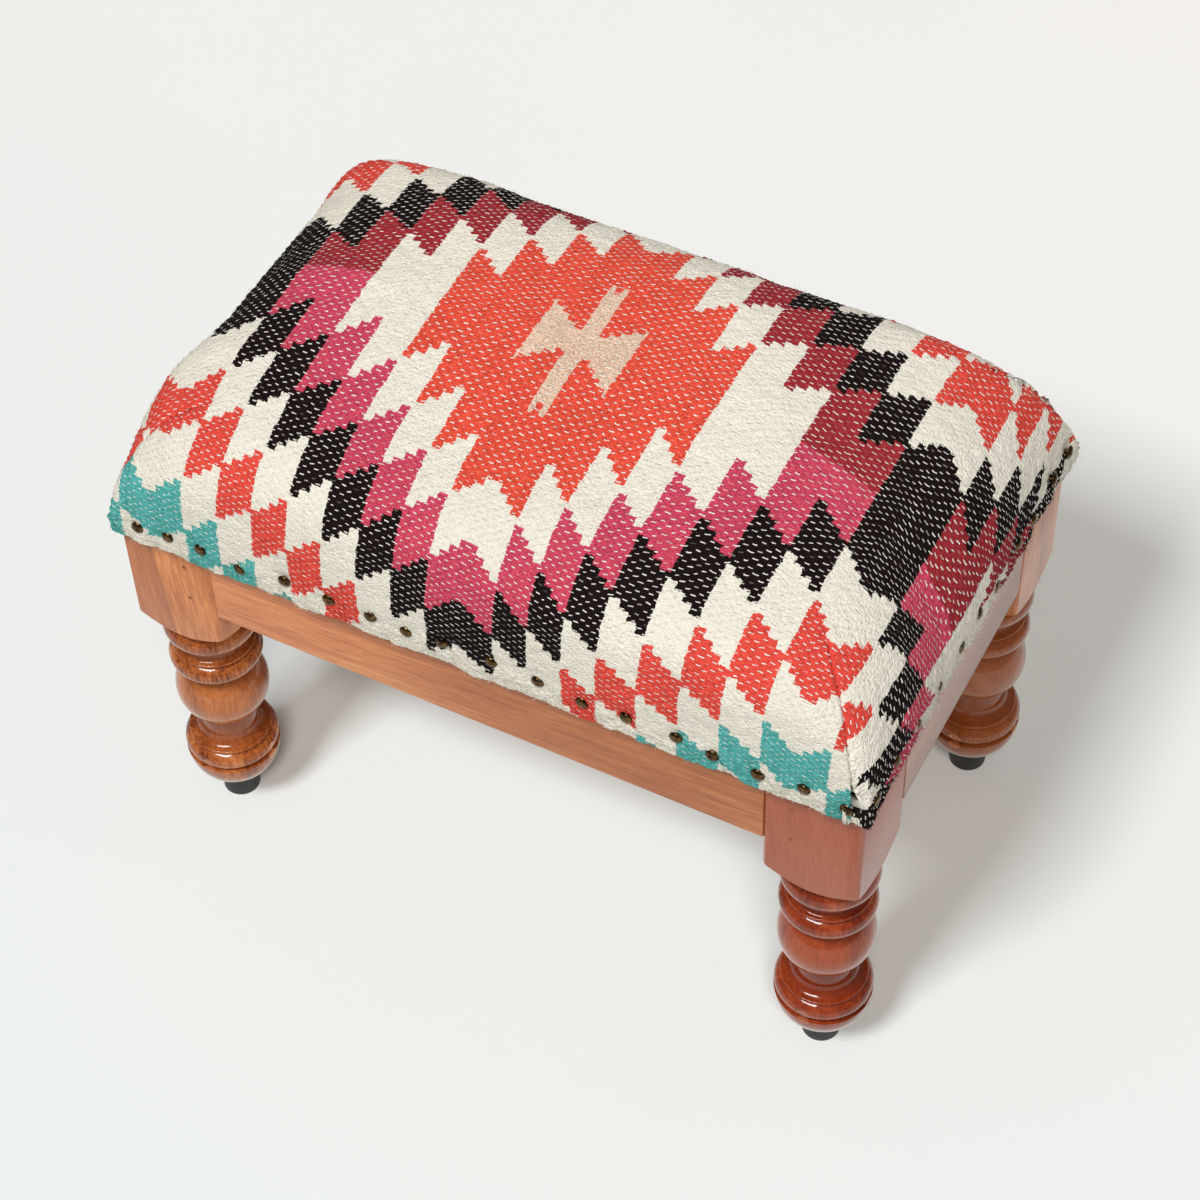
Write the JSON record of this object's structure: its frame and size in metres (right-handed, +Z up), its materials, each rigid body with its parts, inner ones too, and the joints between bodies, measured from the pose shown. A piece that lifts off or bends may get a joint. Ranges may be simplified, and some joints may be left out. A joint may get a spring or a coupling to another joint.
{
  "type": "footstool",
  "caption": "Low rectangular footstool with turned wooden legs, a plain rail frame and a padded seat covered in a woven wool kilim held by dome nails.",
  "frame": {"origin": "on the floor under the middle of the stool", "axes": "+X along the long side, +Y towards the back, +Z up"},
  "size_m": [0.4652, 0.2872, 0.3415],
  "materials": {
    "turned_wood": "glossy lacquer on the turning, satin on the square post, red-brown hardwood",
    "rail_wood": "satin mid-brown hardwood with straight grain along the rail",
    "plywood": "bare plywood",
    "pin_steel": "set flush and filled over",
    "screw_steel": "zinc plated",
    "foam": "open-cell foam",
    "kilim_wool": "flat-woven wool on cotton, stepped medallion in orange-red, cream, black, magenta, maroon and teal",
    "rubber": "matt black"
  },
  "bodies": {
    "root": {"leg_front_left": "turned_wood", "leg_front_right": "turned_wood", "leg_back_left": "turned_wood", "leg_back_right": "turned_wood", "rail_front": "rail_wood", "rail_back": "rail_wood", "rail_left": "rail_wood", "rail_right": "rail_wood", "pin_front_left_low": "pin_steel", "pin_front_left_high": "pin_steel", "pin_front_right_low": "pin_steel", "pin_front_right_high": "pin_steel", "pin_back_left_low": "pin_steel", "pin_back_left_high": "pin_steel", "pin_back_right_low": "pin_steel", "pin_back_right_high": "pin_steel", "seat_board": "plywood", "screw_left": "screw_steel", "screw_right": "screw_steel", "screw_front_left": "screw_steel", "screw_front_middle": "screw_steel", "screw_front_right": "screw_steel", "screw_back_left": "screw_steel", "screw_back_middle": "screw_steel", "screw_back_right": "screw_steel", "foam_pad": "foam", "kilim_cover": "kilim_wool", "ferrule_front_left": "rubber", "ferrule_front_right": "rubber", "ferrule_back_left": "rubber", "ferrule_back_right": "rubber"}
  },
  "joints": []
}
